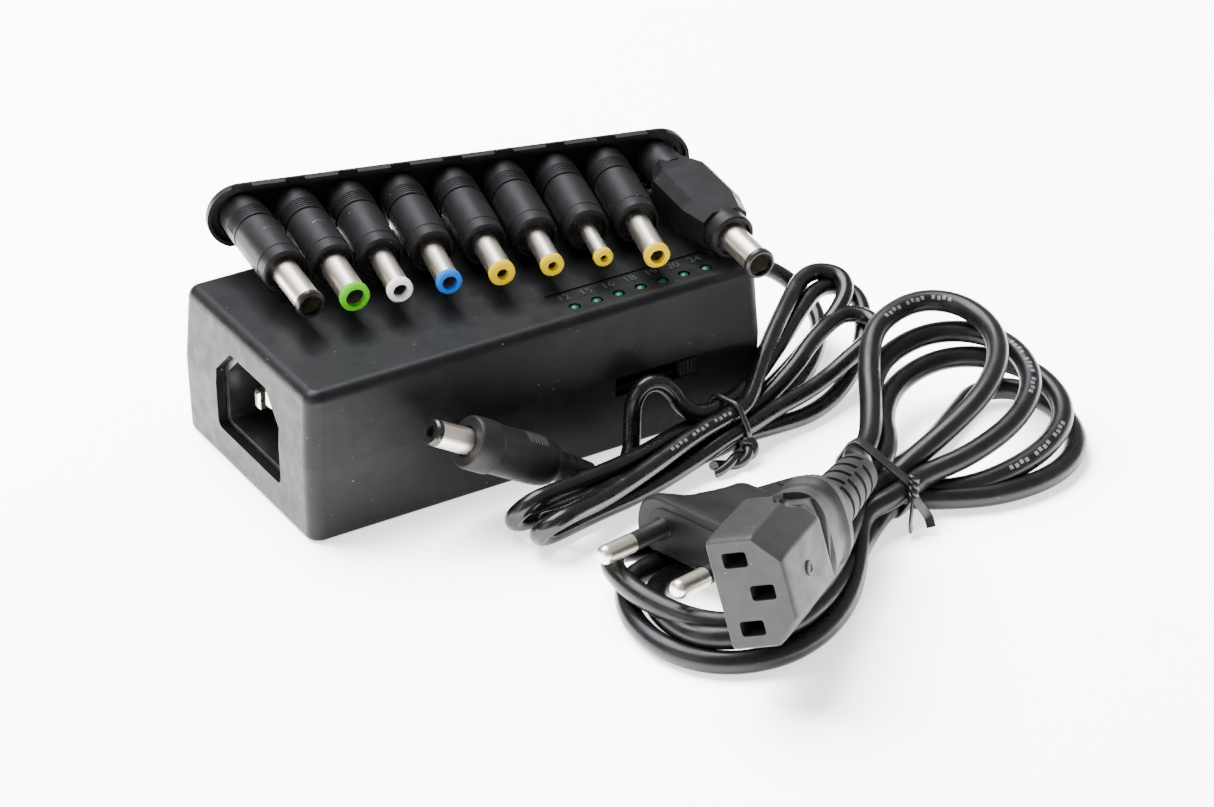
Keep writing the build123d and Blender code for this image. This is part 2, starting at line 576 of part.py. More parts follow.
def socket_slots():
    return [(2.0, 0), (-2.0, -7.0), (-2.0, 7.0)]


def plug_plane():
    """Origin midway between the two pin ends, z the way the pins point, x across them."""
    return frame_from(PLUG_PINS, PLUG_OUT, PLUG_SPACING_DIR)


def make_plug():
    place = plug_plane()
    with BuildPart() as body:
        for z, width, thickness, radius in PLUG_SECTIONS:
            with BuildSketch(Plane.XY.offset(z)):
                RectangleRounded(width, thickness, radius)
        loft(ruled=True)
    pins = []
    solid = body.part
    for side in (-1, 1):
        x = side * PIN_SPACING / 2
        sleeve = rod(PIN_R - 0.1, PIN_LENGTH - PIN_BARE) - rod(PIN_R - 0.5, PIN_LENGTH)
        sleeve = Pos(x, 0, -PIN_LENGTH) * sleeve
        solid -= Pos(x, 0, -PIN_LENGTH - 6) * rod(PIN_R - 0.5, 8)
        solid += sleeve
        core = rod(PIN_R - 0.5, PIN_LENGTH - PIN_BARE + 6, -PIN_LENGTH - 6)
        bare = rod(PIN_R, PIN_BARE, -PIN_BARE)
        bare = fillet(bare.faces().sort_by(Axis.Z)[-1].edges(), 1.6)
        pins.append(Pos(x, 0, 0) * (core + bare))
    return place * solid, Compound([place * pin for pin in pins])


def along(plane, distance):
    point = plane.from_local_coords(Vector(0, 0, distance))
    return (point.X, point.Y, point.Z)


def mains_routes():
    """The two free ends of the mains cord: out of the socket's relief and out of the plug."""
    socket_end = -SOCKET_BODY - SOCKET_NECK - SOCKET_RELIEF
    start = [along(socket_plane(), socket_end), along(socket_plane(), socket_end - 5.5),
             (50.5, -76.8, 14.6), (56.0, -72.0, 12.6)]
    end = [along(plug_plane(), PLUG_REAR), along(plug_plane(), PLUG_REAR - 5.0), (46.6, -71.8, 8.6)]
    return start, end


def build_all():
    os.makedirs("parts", exist_ok=True)
    save("top_shell", make_top_shell())
    save("bottom_shell", make_bottom_shell())
    save("housing_screws", make_screws())
    save("inlet_body", make_inlet_body())
    save("inlet_blades", make_inlet_blades())
    save("circuit_board", make_circuit_board())
    save("mains_fuse", make_fuse())
    save("common_mode_choke", make_choke())
    save("line_capacitor", make_line_capacitor())
    save("electrolytic_capacitors", make_capacitors())
    save("power_transformer", make_transformer())
    save("heat_sinks", make_heat_sinks())
    save("led_board", make_led_board())
    save("indicator_leds", make_leds())
    save("selector_switch", make_selector_switch())
    save("selector_knob", make_selector_knob())
    save("output_strain_relief", make_output_relief())

    dc_body, dc_barrel, dc_ring = make_dc_plug()
    save("dc_plug_body", dc_body)
    save("dc_plug_barrel", dc_barrel)
    save("dc_plug_tip", dc_ring)
    dc_tie = tie_ring(DC_TIE, (0.97, 0.24), 12.0, 13.4)
    dc_hank = below_slope(lobe(DC_HANK_RIGHT, 30), -46, 6, 0.42) + lobe(DC_HANK_LEFT, 8.6)
    save("dc_cord_hank", dc_hank - dc_tie)
    save("dc_cord_tie", dc_tie)
    save("dc_cord_start", tube("dc_cord_start", DC_START, DC_CORD_D))
    save("dc_cord_end", tube("dc_cord_end", DC_END, DC_CORD_D))

    save("tip_holder", make_tip_holder())
    for i in range(9):
        body, barrel, ring = make_tip(i)
        save("tip_%d_body" % (i + 1), body)
        save("tip_%d_barrel" % (i + 1), barrel)
        save("tip_%d_ring" % (i + 1), ring)

    socket, contacts = make_socket()
    save("socket_body", socket)
    save("socket_contacts", contacts)
    plug, pins = make_plug()
    save("plug_body", plug)
    save("plug_pins", pins)
    start, end = mains_routes()
    mains_hank = below_slope(lobe(MAINS_HANK_RIGHT, 40), -90, 6, 0.36) + lobe(MAINS_HANK_LEFT, 4.1)
    mains_tie = tie_ring(MAINS_TIE, (0.957, 0.29), 19.4, 17.2)
    save("mains_cord_hank", mains_hank - mains_tie)
    save("mains_cord_tie", mains_tie)
    save("mains_cord_start", tube("mains_cord_start", start, MAINS_CORD_D))
    save("mains_cord_end", tube("mains_cord_end", end, MAINS_CORD_D))


build_all()
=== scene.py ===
"""Universal laptop power adapter: looks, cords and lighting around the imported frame. Metres, Z up."""
import json
import math

import bmesh
import bpy
from mathutils import Matrix, Vector


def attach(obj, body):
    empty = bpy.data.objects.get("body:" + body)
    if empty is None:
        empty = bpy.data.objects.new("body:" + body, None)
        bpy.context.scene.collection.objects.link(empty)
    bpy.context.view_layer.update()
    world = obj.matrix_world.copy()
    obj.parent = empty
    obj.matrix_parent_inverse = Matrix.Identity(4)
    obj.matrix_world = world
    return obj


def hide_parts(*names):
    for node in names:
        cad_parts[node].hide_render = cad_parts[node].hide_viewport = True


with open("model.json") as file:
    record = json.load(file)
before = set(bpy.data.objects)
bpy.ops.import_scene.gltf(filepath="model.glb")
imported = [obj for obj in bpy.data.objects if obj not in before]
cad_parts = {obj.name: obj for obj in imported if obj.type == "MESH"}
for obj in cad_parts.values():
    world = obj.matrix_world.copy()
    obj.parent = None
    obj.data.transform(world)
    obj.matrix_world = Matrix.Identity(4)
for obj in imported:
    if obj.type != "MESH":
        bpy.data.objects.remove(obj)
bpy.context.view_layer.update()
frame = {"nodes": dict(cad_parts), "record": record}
MM = 0.001


# ---- materials ---------------------------------------------------------------------------------
class Nodes:
    """Short calls for building one procedural material."""

    def __init__(self, name):
        self.material = bpy.data.materials.new(name)
        self.material.use_nodes = True
        self.tree = self.material.node_tree
        self.shader = self.tree.nodes["Principled BSDF"]
        self.place = self.add("ShaderNodeTexCoord").outputs["Object"]

    def add(self, kind, **settings):
        node = self.tree.nodes.new(kind)
        for key, value in settings.items():
            setattr(node, key, value)
        return node

    def link(self, source, target):
        self.tree.links.new(source, target)

    def noise(self, size_mm, detail=3.0, rough=0.55, stretch=None):
        """Noise with features about size_mm across, from 0 to 1."""
        node = self.add("ShaderNodeTexNoise")
        node.inputs["Scale"].default_value = 1.0 / (size_mm * MM)
        node.inputs["Detail"].default_value = detail
        node.inputs["Roughness"].default_value = rough
        source = self.place
        if stretch:
            mapping = self.add("ShaderNodeMapping")
            mapping.inputs["Scale"].default_value = stretch
            self.link(source, mapping.inputs["Vector"])
            source = mapping.outputs["Vector"]
        self.link(source, node.inputs["Vector"])
        return node.outputs["Fac"]

    def specks(self, size_mm, share):
        """1 in small scattered dots, 0 elsewhere."""
        cells = self.add("ShaderNodeTexVoronoi", feature="F1")
        cells.inputs["Scale"].default_value = 1.0 / (size_mm * MM)
        self.link(self.place, cells.inputs["Vector"])
        near = self.ramp(cells.outputs["Distance"], [(0.0, 1.0), (0.16, 1.0), (0.24, 0.0)])
        picked = self.add("ShaderNodeTexWhiteNoise", noise_dimensions="3D")
        self.link(cells.outputs["Position"], picked.inputs["Vector"])
        chosen = self.math("LESS_THAN", picked.outputs["Value"], share)
        return self.math("MULTIPLY", near, chosen)

    def math(self, operation, a, b):
        """One operation on two numbers or sockets."""
        node = self.add("ShaderNodeMath", operation=operation)
        for socket, value in zip(node.inputs, (a, b)):
            if isinstance(value, (int, float)):
                socket.default_value = value
            else:
                self.link(value, socket)
        return node.outputs["Value"]

    def ramp(self, source, stops):
        """Grey or coloured stops along a source that runs from 0 to 1."""
        node = self.add("ShaderNodeValToRGB")
        elements = node.color_ramp.elements
        while len(elements) < len(stops):
            elements.new(0.5)
        for element, (position, value) in zip(elements, stops):
            element.position = position
            element.color = (value, value, value, 1.0) if isinstance(value, (int, float)) else (*value, 1.0)
        self.link(source, node.inputs["Fac"])
        return node.outputs["Color"]

    def mix(self, factor, a, b):
        """Colour a where the factor is 0, b where it is 1."""
        node = self.add("ShaderNodeMix", data_type="RGBA")
        colours = [s for s in node.inputs if s.type == "RGBA"]
        self.link(factor, node.inputs["Factor"])
        for socket, value in zip(colours, (a, b)):
            if isinstance(value, tuple):
                socket.default_value = (*value, 1.0)
            else:
                self.link(value, socket)
        return [s for s in node.outputs if s.type == "RGBA"][0]

    def uneven_gloss(self, source, rough, vary):
        """Roughness that wanders by vary to each side of rough."""
        spread = self.ramp(source, [(0.3, rough - vary), (0.7, rough + vary)])
        self.link(spread, self.shader.inputs["Roughness"])

    def bump(self, height, depth_mm):
        """Fine relief of the surface, depth_mm deep."""
        node = self.add("ShaderNodeBump")
        node.inputs["Strength"].default_value = 1.0
        node.inputs["Distance"].default_value = depth_mm * MM
        self.link(height, node.inputs["Height"])
        self.link(node.outputs["Normal"], self.shader.inputs["Normal"])


def plastic(name, colour, rough, grain_mm=0.3, grain_depth=0.01, vary=0.25, specular=0.5, dust=0.0,
            patch_mm=9.0, rough_vary=0.08, dust_colour=(0.11, 0.11, 0.105)):
    """Moulded plastic or rubber: uneven tone, uneven gloss, moulding grain and settled dust."""
    n = Nodes(name)
    patches = n.noise(patch_mm, 4.0)
    dark = tuple(c * (1.0 - vary) for c in colour)
    light = tuple(c * (1.0 + vary) for c in colour)
    base = n.ramp(patches, [(0.32, dark), (0.68, light)])
    if dust:
        base = n.mix(n.specks(0.75, dust), base, dust_colour)
        base = n.mix(n.specks(0.38, dust * 0.7), base, dust_colour)
    n.link(base, n.shader.inputs["Base Color"])
    gloss = n.noise(patch_mm * 0.4, 5.0)
    n.uneven_gloss(gloss, rough, rough_vary)
    n.bump(n.noise(grain_mm, 2.0), grain_depth)
    n.shader.inputs["Specular IOR Level"].default_value = specular
    return n.material


def metal(name, colour, rough, brush=(1.0, 1.0, 1.0), tarnish=0.12, rough_vary=0.06):
    """Plated metal with faint handling marks and a slightly uneven polish."""
    n = Nodes(name)
    stains = n.noise(2.2, 5.0, 0.6)
    worn = tuple(c * (1.0 - tarnish) for c in colour)
    n.link(n.ramp(stains, [(0.35, worn), (0.65, colour)]), n.shader.inputs["Base Color"])
    n.shader.inputs["Metallic"].default_value = 1.0
    marks = n.noise(0.5, 4.0, 0.6, stretch=brush)
    n.uneven_gloss(marks, rough, rough_vary)
    n.bump(marks, 0.002)
    return n.material


def lens(name, colour):
    """Tinted moulded lamp lens, its tone uneven at random, with a faint painted glow of its own though the
    lamp is not lit.
    """
    n = Nodes(name)
    core = n.noise(0.8, 2.0)
    dim = tuple(c * 0.6 for c in colour)
    n.link(n.ramp(core, [(0.3, dim), (0.7, colour)]), n.shader.inputs["Base Color"])
    n.shader.inputs["Roughness"].default_value = 0.32
    n.shader.inputs["Specular IOR Level"].default_value = 0.2
    # Painted glow: the unlit lens gives off a faint green light of its own.
    n.shader.inputs["Emission Color"].default_value = (*colour, 1.0)
    n.shader.inputs["Emission Strength"].default_value = 0.02
    return n.material


def floor_paper(name, colour):
    """Pale backdrop paper, glowing a little so that it stays white."""
    n = Nodes(name)
    dim = tuple(c * 0.985 for c in colour)
    n.link(n.ramp(n.noise(60.0, 2.0), [(0.3, dim), (0.7, colour)]), n.shader.inputs["Base Color"])
    n.bump(n.noise(1.5, 2.0), 0.01)
    n.shader.inputs["Roughness"].default_value = 0.75
    n.shader.inputs["Specular IOR Level"].default_value = 0.2
    n.shader.inputs["Emission Color"].default_value = (*colour, 1.0)
    n.shader.inputs["Emission Strength"].default_value = 1.6
    return n.material


MATERIALS = {
    "housing": plastic("housing_plastic", (0.0040, 0.0042, 0.0048), 0.42, 0.33, 0.012, 0.3, 0.15, 0.006),
    "screw_steel": metal("screw_steel", (0.45, 0.45, 0.46), 0.34),
    "inlet_plastic": plastic("inlet_plastic", (0.008, 0.008, 0.009), 0.34, 0.3, 0.006),
    "blade_nickel": metal("blade_nickel", (0.74, 0.69, 0.60), 0.30),
    "board": plastic("board_mask", (0.02, 0.10, 0.04), 0.35, 0.6, 0.01),
    "fuse_ceramic": plastic("fuse_ceramic", (0.70, 0.69, 0.64), 0.3, 0.4, 0.004),
    "ferrite": plastic("ferrite_core", (0.05, 0.045, 0.04), 0.6, 0.3, 0.02),
    "film_box": plastic("film_box", (0.62, 0.45, 0.04), 0.35, 0.4, 0.01),
    "capacitor_sleeve": plastic("capacitor_sleeve", (0.02, 0.02, 0.03), 0.25, 0.8, 0.01),
    "winding_tape": plastic("winding_tape", (0.60, 0.45, 0.05), 0.4, 0.4, 0.01),
    "heat_sink_aluminium": metal("heat_sink_aluminium", (0.66, 0.67, 0.69), 0.4, (1.0, 1.0, 12.0)),
    "led_green": lens("led_lens", (0.003, 0.075, 0.032)),
    "switch_plastic": plastic("switch_plastic", (0.006, 0.006, 0.006), 0.4, 0.3, 0.01),
    "knob_plastic": plastic("knob_plastic", (0.012, 0.012, 0.013), 0.38, 0.25, 0.01),
    "cord_rubber": plastic("relief_rubber", (0.010, 0.010, 0.011), 0.42, 0.3, 0.01),
    "plug_rubber": plastic("plug_rubber", (0.0095, 0.0098, 0.0098), 0.48, 0.25, 0.010, 0.2, 0.22),
    "barrel_nickel": metal("barrel_nickel", (0.80, 0.73, 0.63), 0.34, tarnish=0.06, rough_vary=0.03),
    "ring_black": plastic("ring_black", (0.007, 0.007, 0.007), 0.3, 0.3, 0.006),
    "ring_green": plastic("ring_green", (0.085, 0.45, 0.012), 0.34, 0.3, 0.004, 0.12, 0.10),
    "ring_white": plastic("ring_white", (0.88, 0.87, 0.84), 0.32, 0.3, 0.004, 0.06),
    "ring_blue": plastic("ring_blue", (0.006, 0.14, 0.60), 0.34, 0.3, 0.004, 0.15, 0.12),
    "ring_yellow": plastic("ring_yellow", (0.66, 0.45, 0.0), 0.36, 0.3, 0.004, 0.08, 0.04),
    "dc_cord_jacket": plastic("dc_cord_jacket", (0.0035, 0.0036, 0.0042), 0.26, 0.5, 0.006, 0.2, 0.40,
                              0.006),
    "mains_cord_jacket": plastic("mains_cord_jacket", (0.0045, 0.0048, 0.0054), 0.34, 0.45, 0.008, 0.2,
                                 0.28, 0.005),
    "tie_plastic": plastic("tie_plastic", (0.007, 0.007, 0.0075), 0.33, 0.4, 0.01),
    "holder_plastic": plastic("holder_plastic", (0.0055, 0.0058, 0.0060), 0.48, 0.3, 0.012, 0.25, 0.2,
                              0.008),
    "tip_plastic": plastic("tip_plastic", (0.0055, 0.0058, 0.0063), 0.44, 0.22, 0.010, 0.22, 0.19, 0.008),
    "connector_rubber": plastic("connector_rubber", (0.0165, 0.0175, 0.0150), 0.55, 0.3, 0.010, 0.12,
                                0.35, 0.008),
    "numeral_plastic": plastic("numeral_plastic", (0.030, 0.030, 0.031), 0.34, 0.2, 0.006, 0.2, 0.5),
    "print_ink": plastic("print_ink", (0.15, 0.155, 0.16), 0.5, 0.2, 0.004, 0.3, 0.4),
    "contact_brass": metal("contact_brass", (0.40, 0.22, 0.12), 0.35),
}


def paint_frame():
    """Gives every node of the frame the finish of its slot."""
    for row in frame["record"]["subparts"]:
        node = frame["nodes"][row["node"]]
        for slot in node.material_slots:
            slot.material = MATERIALS[row["material_slot"]]


# ---- building blocks ---------------------------------------------------------------------------
def metres(points):
    """Points in mm as vectors in the scene's unit."""
    return [Vector(p) * MM for p in points]


def put(name, data, slot, body, parts=()):
    """A finished piece: object, finish, body it rides on and the frame nodes that it stands for."""
    piece = bpy.data.objects.new(name, data)
    bpy.context.scene.collection.objects.link(piece)
    data.materials.append(MATERIALS[slot])
    if parts:
        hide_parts(*parts)
    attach(piece, body)
    return piece


def shaded(mesh, sharp_angle=0.6):
    """Smooth faces, with hard edges where the surface really turns."""
    bm = bmesh.new()
    bm.from_mesh(mesh)
    bmesh.ops.remove_doubles(bm, verts=bm.verts, dist=1e-6)
    bmesh.ops.recalc_face_normals(bm, faces=bm.faces)
    for face in bm.faces:
        face.smooth = True
    for edge in bm.edges:
        edge.smooth = not (len(edge.link_faces) == 2 and edge.calc_face_angle() > sharp_angle)
    bm.to_mesh(mesh)
    bm.free()
    return mesh


def frame_from(origin, z_dir, x_dir):
    """Matrix of a frame at origin in mm, its z along z_dir and its x as near x_dir as it can be."""
    z = Vector(z_dir).normalized()
    x = Vector(x_dir)
    x = (x - z * x.dot(z)).normalized()
    turn = Matrix((x, z.cross(x), z)).transposed().to_4x4()
    return Matrix.Translation(Vector(origin) * MM) @ turn


def skin(name, rings, place=None, caps=True, closed=False, sharp_angle=0.6):
    """Mesh through rings of points in mm, each with the same count, in the frame given by place."""
    place = place or Matrix.Identity(4)
    count = len(rings[0])
    verts = [place @ (Vector(p) * MM) for ring in rings for p in ring]
    faces = []
    spans = len(rings) if closed else len(rings) - 1
    for i in range(spans):
        a, b = i * count, ((i + 1) % len(rings)) * count
        faces += [(a + j, a + (j + 1) % count, b + (j + 1) % count, b + j) for j in range(count)]
    if caps and not closed:
        faces.append(tuple(reversed(range(count))))
        faces.append(tuple(range((len(rings) - 1) * count, len(rings) * count)))
    mesh = bpy.data.meshes.new(name)
    mesh.from_pydata(verts, [], faces)
    return shaded(mesh, sharp_angle)


def rounded(corners, radius, steps=5):
    """Outline through corners in the plane, each rounded off by the radius."""
    outline = []
    count = len(corners)
    for i, corner in enumerate(corners):
        here = Vector(corner)
        before = (Vector(corners[i - 1]) - here).normalized()
        after = (Vector(corners[(i + 1) % count]) - here).normalized()
        half = before.angle(after) / 2
        reach = radius / math.tan(half)
        start, end = here + before * reach, here + after * reach
        for k in range(steps + 1):
            t = k / steps
            outline.append(tuple(start * (1 - t) ** 2 + here * (2 * t * (1 - t)) + end * t ** 2))
    return outline


def box_outline(width, height, radius, steps=6):
    """Rounded rectangle round the middle of the plane."""
    w, h = width / 2, height / 2
    return rounded([(w, -h), (w, h), (-w, h), (-w, -h)], radius, steps)


def circle(radius, count=32):
    """Round outline in the plane."""
    return [(radius * math.cos(2 * math.pi * k / count), radius * math.sin(2 * math.pi * k / count))
            for k in range(count)]


def at(outline, z, dx=0.0, dy=0.0):
    """Outline of the plane as a ring at height z, moved by dx and dy."""
    return [(x + dx, y + dy, z) for x, y in outline]


def turned(name, profile, place, count=48, sharp_angle=0.6):
    """Solid of revolution about the frame's z through (radius, height) steps, closed at both ends."""
    return skin(name, [at(circle(r, count), z) for r, z in profile], place, True, False, sharp_angle)


def swept(name, path, section, axis=None, closed=False):
    """Section of (side, out) points carried along a path, all in mm; axis is the side direction."""
    path = [Vector(p) for p in path]
    count = len(path)
    rings = []
    side = None
    for i, here in enumerate(path):
        after = path[(i + 1) % count] if closed or i + 1 < count else here
        before = path[i - 1] if closed or i else here
        along = (after - before).normalized()
        reference = Vector(axis) if axis else (side or Vector((0.1, 0.2, 1.0)))
        side = (reference - along * reference.dot(along)).normalized()
        out = side.cross(along)
        rings.append([tuple(here + side * u + out * v) for u, v in section])
    return skin(name, rings, None, True, closed)


def carved(piece, cutters):
    """Cuts closed meshes out of a finished piece and leaves one clean mesh."""
    for data in cutters:
        cutter = bpy.data.objects.new("cutter", data)
        bpy.context.scene.collection.objects.link(cutter)
        cut = piece.modifiers.new("cut", "BOOLEAN")
        cut.operation = "DIFFERENCE"
        cut.solver = "EXACT"
        cut.object = cutter
        bpy.context.view_layer.update()
        evaluated = piece.evaluated_get(bpy.context.evaluated_depsgraph_get())
        result = bpy.data.meshes.new_from_object(evaluated)
        piece.modifiers.remove(cut)
        piece.data = result
        bpy.data.objects.remove(cutter)
    shaded(piece.data)
    return piece


def smooth_line(points, steps=12):
    """Points of a rounded line through the control points, for wires and ties."""
    points = [Vector(p) for p in points]
    line = []
    for i in range(len(points) - 1):
        p0, p1 = points[max(i - 1, 0)], points[i]
        p2, p3 = points[i + 1], points[min(i + 2, len(points) - 1)]
        for k in range(steps):
            t = k / steps
            line.append(0.5 * (2 * p1 + (p2 - p0) * t + (2 * p0 - 5 * p1 + 4 * p2 - p3) * t ** 2
                               + (3 * p1 - 3 * p2 + p3 - p0) * t ** 3))
    return line + [points[-1]]


def route_curve(name, points, diameter):
    """One smooth open NURBS line through the run of control points, given thickness."""
    curve = bpy.data.curves.new(name, "CURVE")
    curve.dimensions = "3D"
    spline = curve.splines.new("NURBS")
    spline.points.add(len(points) - 1)
    for point, place in zip(spline.points, metres(points)):
        point.co = (*place, 1.0)
    spline.order_u = 3
    spline.use_endpoint_u = True
    spline.resolution_u = 10
    curve.bevel_depth = diameter * MM / 2
    curve.bevel_resolution = 7
    curve.use_fill_caps = True
    return curve


def through(tie, slot, half):
    """Two points that carry a strand straight through a tie, from one side to the other."""
    (x, y), (ax, ay) = tie
    across, height = slot
    return [(x + ax * k - ay * across, y + ay * k + ax * across, height) for k in (half, -half)]


# ---- output lead -------------------------------------------------------------------------------
# Diameters, routes and sections are in mm throughout. A tie has a place and a direction on the floor.
DC_D = 3.8
DC_TIE = ((38.0, -40.0), (0.97, 0.243))
# Across the bundle, positive towards the brick, and height of each strand where it is tied.
DC_STRANDS = {"low_back": (1.9, 2.7), "low_front": (-1.9, 2.7), "mid_back": (3.8, 6.0), "mid": (0.0, 6.0),
              "mid_front": (-3.8, 6.0), "top_back": (2.0, 9.3), "top_front": (-1.8, 9.3)}
DC_EXIT = [(67.45, 1, 17.3), (74.5, 0.6, 14.6), (80.5, -3, 9.5), (81.0, -11, 6.0), (75, -20, 4.0),
           (65, -28.5, 2.6), (53, -35.0, 2.5)]
DC_RIGHT = [
    [(50, -34.8, 6.5), (60, -30.5, 8.0), (69, -26.5, 10.5), (77.5, -23.0, 13.2), (82.6, -19.2, 15.4),
     (83.8, -14.6, 16.8), (79.8, -11.4, 17.5), (74.6, -12.4, 17.2), (68, -17.8, 16.0), (61, -23.6, 14.6),
     (53, -30.5, 12.6), (46, -37.5, 10.6)],
    [(50, -40.5, 6.3), (58, -39.0, 6.6), (66, -36.8, 7.5), (72.5, -35.0, 9.2), (76.9, -33.8, 10.3),
     (80.3, -32.9, 11.0), (82.9, -30.3, 11.6), (82.9, -26.8, 12.2), (80.3, -24.2, 12.7),
     (76.6, -23.9, 12.7), (67.5, -27.8, 11.2), (60, -32.5, 9.2), (49, -37.0, 6.6)],
    [(50, -41.2, 2.5), (59, -40.8, 2.1), (69, -37.2, 3), (77, -32, 6.0), (83.5, -25.0, 10.0),
     (86, -18.8, 12.8), (83.4, -14.4, 14.2), (77.6, -14.2, 14.8), (70, -19.0, 13.2), (60, -26, 11.4),
     (48, -34.2, 10)],
]
DC_LEFT = [
    [(27, -40.6, 2.2), (14, -43.2, 2), (0, -44.6, 2), (-12.0, -45.4, 2), (-15.7, -45.6, 2.1),
     (-18.3, -46.9, 4.1), (-18.3, -48.8, 7.0), (-15.7, -49.9, 9.3), (-12.0, -49.6, 9.7),
     (-1, -47.6, 8.9), (13, -44.4, 7.8), (27, -38.6, 6.6)],
    [(27, -44.5, 9.0), (13, -49.0, 7.6), (-1, -53.6, 7.2), (-10.4, -57.0, 8.8), (-14.2, -57.9, 8.6),
     (-16.8, -56.5, 6.7), (-16.8, -54.4, 4.1), (-14.2, -52.9, 2.1), (-10.4, -52.3, 2.0),
     (-1, -50.4, 2.0), (13, -48.6, 2.2), (27, -46.4, 4.6)],
    [(27, -42.2, 5.6), (14, -45.8, 5.0), (3, -50.0, 6.6), (-1.8, -53.0, 7.5), (-5.9, -55.0, 7.9),
     (-9.7, -55.2, 7.4), (-12.4, -53.0, 5.8), (-12.4, -49.8, 3.7), (-9.7, -47.5, 2.1),
     (-5.9, -47.0, 2.0), (3, -46.6, 2.0), (15, -45.6, 2), (27, -43.4, 2.3)],
]
DC_ORDER = ["low_back", "mid_back", "top_front", "mid_front", "mid", "low_front", "top_back"]
DC_ARCH = [(31.0, -37.9, 9.6), (28.3, -36.5, 12.0), (27.0, -35.4, 15.2), (24.2, -34.6, 17.8),
           (20.6, -34.1, 17.6), (18.4, -34.0, 14.0), (17.9, -34.6, 8.8), (16.9, -36.0, 4.2),
           (14.0, -38.2, 2.1), (10.0, -39.5, 2.0), (4.4, -39.4, 3.9)]

# ---- mains lead --------------------------------------------------------------------------------
MAINS_D = 4.7
MAINS_TIE = ((51.0, -76.0), (0.957, 0.29))
MAINS_STRANDS = {"low_back": (4.8, 3.3), "low": (0, 3.3), "low_front": (-4.8, 3.3), "mid_back": (7.1, 7.4),
                 "mid_2": (2.4, 7.4), "mid_3": (-2.4, 7.4), "mid_front": (-7.1, 7.4), "top": (4.7, 11.6)}
MAINS_START = [(39.4, -85.3, 17.3), (43.8, -82.1, 16.2)]
MAINS_RIGHT = [
    [(60, -61, 13.5), (66.5, -50, 17), (74, -41.5, 20), (86, -39, 21.5), (93.5, -45, 21.5),
     (94.5, -56, 20.5), (89, -66, 19), (79, -73.5, 17), (68, -76.5, 13.5), (60, -76.5, 9.5)],
    [(59.5, -63, 9), (65, -53, 11), (73.5, -44.5, 13), (86, -42, 14.5), (95.0, -47.5, 15.5),
     (99, -58, 15.5), (95.5, -70, 14), (85, -78.5, 12), (71, -81.5, 9.5), (60, -80.3, 7.6)],
    [(60.5, -67, 7.5), (65.5, -57, 8), (75, -48.5, 9), (88, -46, 10), (97.5, -52, 10.5),
     (102.5, -63, 10), (100, -76, 8.5), (89, -84, 6.5), (72, -85.5, 4.2), (60, -80.5, 3.4)],
    [(61, -83.0, 2.8), (74, -88.5, 2.5), (89, -88, 2.5), (100, -81, 2.6), (105, -68, 2.8),
     (102.5, -56, 3.2), (94, -52, 3.2), (84, -58, 3), (72, -65.5, 2.8), (61, -69.5, 3)],
]
MAINS_LEFT = [
    [(43, -81, 7.6), (36, -88, 7), (24, -99, 6.6), (10, -107.5, 7), (-1, -107.5, 7.4), (-9, -101, 7.2),
     (-13.5, -90, 7.6), (-14, -78.5, 8.0), (-9, -70.2, 6.2), (0.5, -67.8, 2.8), (12, -70, 2.5),
     (26, -73.2, 2.4), (38, -79, 6.0)],
    [(41, -84, 6), (34, -94, 2.6), (24, -105, 2.4), (12, -112.0, 2.4), (1, -113.5, 2.4),
     (-9.5, -109.5, 2.4), (-15.5, -100, 2.4), (-15.5, -87, 2.4), (-9, -75, 2.4), (1, -73.2, 2.4),
     (14, -74.8, 2.4), (28, -78, 2.4), (40, -77.6, 5.2)],
    [(40, -81, 3), (28, -81, 2.5), (13, -79.4, 2.4), (1, -78.2, 2.4), (-7, -82, 3.0), (-11.5, -92, 4.6),
     (-11, -103, 5.6), (-4, -109, 6.2), (7, -110, 5.4), (19, -104.5, 4.2), (31, -95.5, 2.8),
     (41, -87, 3.0)],
]
MAINS_ORDER = ["top", "mid_3", "mid_back", "mid_front", "mid_2", "low", "low_front", "low_back"]
MAINS_END = [(42.0, -71.4, 6.8), (35.9, -73.4, 7.4)]


def hank_route(start, tie, strands, order, first_side, loops, end, half):
    """Start, then strand by strand through the tie with a loop on each side in turn, then end."""
    points = list(start)
    side = first_side
    used = {"left": 0, "right": 0}
    for index, strand in enumerate(order):
        run = through(tie, strands[strand], half)
        points += run if side == "left" else run[::-1]
        if index < len(order) - 1:
            points += loops[side][used[side]]
            used[side] += 1
        side = "right" if side == "left" else "left"
    return points + end


def cord_length(curve):
    """Length of the route in metres, read from the line itself."""
    bare = curve.copy()
    bare.bevel_depth = 0.0
    holder = bpy.data.objects.new("measure", bare)
    mesh = bpy.data.meshes.new_from_object(holder)
    line = [v.co.copy() for v in mesh.vertices]
    bpy.data.objects.remove(holder)
    return sum((b - a).length for a, b in zip(line, line[1:])), line


def make_cords():
    """Both cords, each as one curve in place of the solid hank and its ends."""
    dc_points = hank_route(DC_EXIT, DC_TIE, DC_STRANDS, DC_ORDER, "left",
                           {"left": DC_LEFT, "right": DC_RIGHT}, DC_ARCH, 3.5)
    dc = put("dc_cord", route_curve("dc_cord", dc_points, DC_D), "dc_cord_jacket", "adapter",
             ("dc_cord_hank", "dc_cord_start", "dc_cord_end"))
    mains_points = hank_route(MAINS_START, MAINS_TIE, MAINS_STRANDS, MAINS_ORDER, "right",
                              {"left": MAINS_LEFT, "right": MAINS_RIGHT}, MAINS_END, 3.2)
    mains = put("mains_cord", route_curve("mains_cord", mains_points, MAINS_D), "mains_cord_jacket",
                "mains_lead", ("mains_cord_hank", "mains_cord_start", "mains_cord_end"))
    return dc, mains


def declare_cords(dc, mains):
    """Works out how long each cord is; the lengths are not kept or passed to the frame."""
    round(cord_length(dc.data)[0], 3)
    round(cord_length(mains.data)[0], 3)


